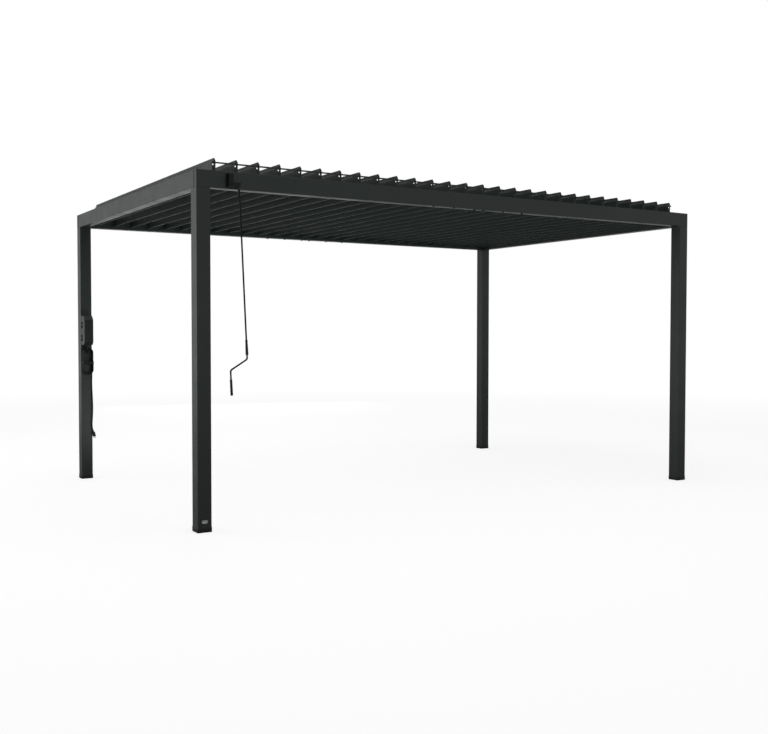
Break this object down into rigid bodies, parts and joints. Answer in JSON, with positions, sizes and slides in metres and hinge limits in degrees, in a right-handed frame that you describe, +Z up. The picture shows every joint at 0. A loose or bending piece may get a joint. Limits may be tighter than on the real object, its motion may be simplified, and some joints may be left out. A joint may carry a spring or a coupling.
{
  "type": "louvered pergola",
  "caption": "Free-standing pergola with four square posts, box beams with gutters and a flat roof of tilting blades worked by a hanging crank.",
  "frame": {"origin": "middle of the footprint, on the ground, with the crank's reach in front of the frame counted in", "axes": "+X along the row of blades, from the crank end; +Y from the front to the back; +Z up"},
  "size_m": [4.89, 3.097, 2.6],
  "materials": {
    "frame_coat": "satin anthracite powder coat",
    "blade_coat": "satin anthracite powder coat",
    "bar_coat": "satin anthracite powder coat",
    "foot_trim": "matte black moulding",
    "gear_case": "matte black paint",
    "crank_coat": "satin black paint",
    "bright_steel": "bare steel",
    "grip": "matte black moulding",
    "outlet_shell": "satin grey paint",
    "socket": "matte black moulding",
    "cord": "matte black jacket"
  },
  "bodies": {
    "frame": {"post_front_left": "frame_coat", "post_front_right": "frame_coat", "post_rear_left": "frame_coat", "post_rear_right": "frame_coat", "foot_front_left": "foot_trim", "foot_front_right": "foot_trim", "foot_rear_left": "foot_trim", "foot_rear_right": "foot_trim", "beam_front": "frame_coat", "beam_rear": "frame_coat", "beam_left": "frame_coat", "beam_right": "frame_coat", "pivot_rail_front": "frame_coat", "pivot_rail_rear": "frame_coat", "gearbox": "gear_case", "outlet_box": "outlet_shell", "outlet_sockets": "socket", "cord_gland": "grip", "power_cord": "cord", "cord_hank": "cord", "plug": "grip", "badge_plate": "bright_steel"},
    "louver_01": {"louver_01": "blade_coat"},
    "louver_02": {"louver_02": "blade_coat"},
    "louver_03": {"louver_03": "blade_coat"},
    "louver_04": {"louver_04": "blade_coat"},
    "louver_05": {"louver_05": "blade_coat"},
    "louver_06": {"louver_06": "blade_coat"},
    "louver_07": {"louver_07": "blade_coat"},
    "louver_08": {"louver_08": "blade_coat"},
    "louver_09": {"louver_09": "blade_coat"},
    "louver_10": {"louver_10": "blade_coat"},
    "louver_11": {"louver_11": "blade_coat"},
    "louver_12": {"louver_12": "blade_coat"},
    "louver_13": {"louver_13": "blade_coat"},
    "louver_14": {"louver_14": "blade_coat"},
    "louver_15": {"louver_15": "blade_coat"},
    "louver_16": {"louver_16": "blade_coat"},
    "louver_17": {"louver_17": "blade_coat"},
    "louver_18": {"louver_18": "blade_coat"},
    "louver_19": {"louver_19": "blade_coat"},
    "louver_20": {"louver_20": "blade_coat"},
    "louver_21": {"louver_21": "blade_coat"},
    "louver_22": {"louver_22": "blade_coat"},
    "louver_23": {"louver_23": "blade_coat"},
    "louver_24": {"louver_24": "blade_coat"},
    "louver_25": {"louver_25": "blade_coat"},
    "louver_26": {"louver_26": "blade_coat"},
    "louver_27": {"louver_27": "blade_coat"},
    "louver_28": {"louver_28": "blade_coat"},
    "tie_bar": {"tie_bar": "bar_coat"},
    "gear_eye": {"gear_eye": "bright_steel"},
    "crank": {"crank_rod": "crank_coat", "crank_grips": "grip"}
  },
  "joints": [
    {"name": "louver_01_tilt", "type": "hinge", "parent": "frame", "child": "louver_01", "pos_m": [-2.28, 0.0185, 2.496], "axis": [0, 1, 0], "range_deg": [-84, 30]},
    {"name": "louver_02_tilt", "type": "hinge", "parent": "frame", "child": "louver_02", "pos_m": [-2.11111, 0.0185, 2.496], "axis": [0, 1, 0], "range_deg": [-84, 30]},
    {"name": "louver_03_tilt", "type": "hinge", "parent": "frame", "child": "louver_03", "pos_m": [-1.94222, 0.0185, 2.496], "axis": [0, 1, 0], "range_deg": [-84, 30]},
    {"name": "louver_04_tilt", "type": "hinge", "parent": "frame", "child": "louver_04", "pos_m": [-1.77333, 0.0185, 2.496], "axis": [0, 1, 0], "range_deg": [-84, 30]},
    {"name": "louver_05_tilt", "type": "hinge", "parent": "frame", "child": "louver_05", "pos_m": [-1.60444, 0.0185, 2.496], "axis": [0, 1, 0], "range_deg": [-84, 30]},
    {"name": "louver_06_tilt", "type": "hinge", "parent": "frame", "child": "louver_06", "pos_m": [-1.43556, 0.0185, 2.496], "axis": [0, 1, 0], "range_deg": [-84, 30]},
    {"name": "louver_07_tilt", "type": "hinge", "parent": "frame", "child": "louver_07", "pos_m": [-1.26667, 0.0185, 2.496], "axis": [0, 1, 0], "range_deg": [-84, 30]},
    {"name": "louver_08_tilt", "type": "hinge", "parent": "frame", "child": "louver_08", "pos_m": [-1.09778, 0.0185, 2.496], "axis": [0, 1, 0], "range_deg": [-84, 30]},
    {"name": "louver_09_tilt", "type": "hinge", "parent": "frame", "child": "louver_09", "pos_m": [-0.92889, 0.0185, 2.496], "axis": [0, 1, 0], "range_deg": [-84, 30]},
    {"name": "louver_10_tilt", "type": "hinge", "parent": "frame", "child": "louver_10", "pos_m": [-0.76, 0.0185, 2.496], "axis": [0, 1, 0], "range_deg": [-84, 30]},
    {"name": "louver_11_tilt", "type": "hinge", "parent": "frame", "child": "louver_11", "pos_m": [-0.59111, 0.0185, 2.496], "axis": [0, 1, 0], "range_deg": [-84, 30]},
    {"name": "louver_12_tilt", "type": "hinge", "parent": "frame", "child": "louver_12", "pos_m": [-0.42222, 0.0185, 2.496], "axis": [0, 1, 0], "range_deg": [-84, 30]},
    {"name": "louver_13_tilt", "type": "hinge", "parent": "frame", "child": "louver_13", "pos_m": [-0.25333, 0.0185, 2.496], "axis": [0, 1, 0], "range_deg": [-84, 30]},
    {"name": "louver_14_tilt", "type": "hinge", "parent": "frame", "child": "louver_14", "pos_m": [-0.08444, 0.0185, 2.496], "axis": [0, 1, 0], "range_deg": [-84, 30]},
    {"name": "louver_15_tilt", "type": "hinge", "parent": "frame", "child": "louver_15", "pos_m": [0.08444, 0.0185, 2.496], "axis": [0, 1, 0], "range_deg": [-84, 30]},
    {"name": "louver_16_tilt", "type": "hinge", "parent": "frame", "child": "louver_16", "pos_m": [0.25333, 0.0185, 2.496], "axis": [0, 1, 0], "range_deg": [-84, 30]},
    {"name": "louver_17_tilt", "type": "hinge", "parent": "frame", "child": "louver_17", "pos_m": [0.42222, 0.0185, 2.496], "axis": [0, 1, 0], "range_deg": [-84, 30]},
    {"name": "louver_18_tilt", "type": "hinge", "parent": "frame", "child": "louver_18", "pos_m": [0.59111, 0.0185, 2.496], "axis": [0, 1, 0], "range_deg": [-84, 30]},
    {"name": "louver_19_tilt", "type": "hinge", "parent": "frame", "child": "louver_19", "pos_m": [0.76, 0.0185, 2.496], "axis": [0, 1, 0], "range_deg": [-84, 30]},
    {"name": "louver_20_tilt", "type": "hinge", "parent": "frame", "child": "louver_20", "pos_m": [0.92889, 0.0185, 2.496], "axis": [0, 1, 0], "range_deg": [-84, 30]},
    {"name": "louver_21_tilt", "type": "hinge", "parent": "frame", "child": "louver_21", "pos_m": [1.09778, 0.0185, 2.496], "axis": [0, 1, 0], "range_deg": [-84, 30]},
    {"name": "louver_22_tilt", "type": "hinge", "parent": "frame", "child": "louver_22", "pos_m": [1.26667, 0.0185, 2.496], "axis": [0, 1, 0], "range_deg": [-84, 30]},
    {"name": "louver_23_tilt", "type": "hinge", "parent": "frame", "child": "louver_23", "pos_m": [1.43556, 0.0185, 2.496], "axis": [0, 1, 0], "range_deg": [-84, 30]},
    {"name": "louver_24_tilt", "type": "hinge", "parent": "frame", "child": "louver_24", "pos_m": [1.60444, 0.0185, 2.496], "axis": [0, 1, 0], "range_deg": [-84, 30]},
    {"name": "louver_25_tilt", "type": "hinge", "parent": "frame", "child": "louver_25", "pos_m": [1.77333, 0.0185, 2.496], "axis": [0, 1, 0], "range_deg": [-84, 30]},
    {"name": "louver_26_tilt", "type": "hinge", "parent": "frame", "child": "louver_26", "pos_m": [1.94222, 0.0185, 2.496], "axis": [0, 1, 0], "range_deg": [-84, 30]},
    {"name": "louver_27_tilt", "type": "hinge", "parent": "frame", "child": "louver_27", "pos_m": [2.11111, 0.0185, 2.496], "axis": [0, 1, 0], "range_deg": [-84, 30]},
    {"name": "louver_28_tilt", "type": "hinge", "parent": "frame", "child": "louver_28", "pos_m": [2.28, 0.0185, 2.496], "axis": [0, 1, 0], "range_deg": [-84, 30]},
    {"name": "tie_bar_pivot", "type": "hinge", "parent": "louver_14", "child": "tie_bar", "pos_m": [-0.07644, -1.434, 2.567], "axis": [0, 1, 0], "range_deg": [-30, 84]},
    {"name": "gear_eye_turn", "type": "hinge", "parent": "frame", "child": "gear_eye", "pos_m": [-2.135, -1.5305, 2.379], "axis": [0, 0, 1], "range_deg": [-840, 300]},
    {"name": "crank_swing", "type": "hinge", "parent": "gear_eye", "child": "crank", "pos_m": [-2.135, -1.5305, 2.3758], "axis": [0, 1, 0], "range_deg": [-35, 35]}
  ],
  "couplings": [
    {"joint": "louver_02_tilt", "follows": "louver_01_tilt", "ratio": 1},
    {"joint": "louver_03_tilt", "follows": "louver_01_tilt", "ratio": 1},
    {"joint": "louver_04_tilt", "follows": "louver_01_tilt", "ratio": 1},
    {"joint": "louver_05_tilt", "follows": "louver_01_tilt", "ratio": 1},
    {"joint": "louver_06_tilt", "follows": "louver_01_tilt", "ratio": 1},
    {"joint": "louver_07_tilt", "follows": "louver_01_tilt", "ratio": 1},
    {"joint": "louver_08_tilt", "follows": "louver_01_tilt", "ratio": 1},
    {"joint": "louver_09_tilt", "follows": "louver_01_tilt", "ratio": 1},
    {"joint": "louver_10_tilt", "follows": "louver_01_tilt", "ratio": 1},
    {"joint": "louver_11_tilt", "follows": "louver_01_tilt", "ratio": 1},
    {"joint": "louver_12_tilt", "follows": "louver_01_tilt", "ratio": 1},
    {"joint": "louver_13_tilt", "follows": "louver_01_tilt", "ratio": 1},
    {"joint": "louver_14_tilt", "follows": "louver_01_tilt", "ratio": 1},
    {"joint": "louver_15_tilt", "follows": "louver_01_tilt", "ratio": 1},
    {"joint": "louver_16_tilt", "follows": "louver_01_tilt", "ratio": 1},
    {"joint": "louver_17_tilt", "follows": "louver_01_tilt", "ratio": 1},
    {"joint": "louver_18_tilt", "follows": "louver_01_tilt", "ratio": 1},
    {"joint": "louver_19_tilt", "follows": "louver_01_tilt", "ratio": 1},
    {"joint": "louver_20_tilt", "follows": "louver_01_tilt", "ratio": 1},
    {"joint": "louver_21_tilt", "follows": "louver_01_tilt", "ratio": 1},
    {"joint": "louver_22_tilt", "follows": "louver_01_tilt", "ratio": 1},
    {"joint": "louver_23_tilt", "follows": "louver_01_tilt", "ratio": 1},
    {"joint": "louver_24_tilt", "follows": "louver_01_tilt", "ratio": 1},
    {"joint": "louver_25_tilt", "follows": "louver_01_tilt", "ratio": 1},
    {"joint": "louver_26_tilt", "follows": "louver_01_tilt", "ratio": 1},
    {"joint": "louver_27_tilt", "follows": "louver_01_tilt", "ratio": 1},
    {"joint": "louver_28_tilt", "follows": "louver_01_tilt", "ratio": 1},
    {"joint": "tie_bar_pivot", "follows": "louver_01_tilt", "ratio": -1},
    {"joint": "gear_eye_turn", "follows": "louver_01_tilt", "ratio": 10}
  ]
}
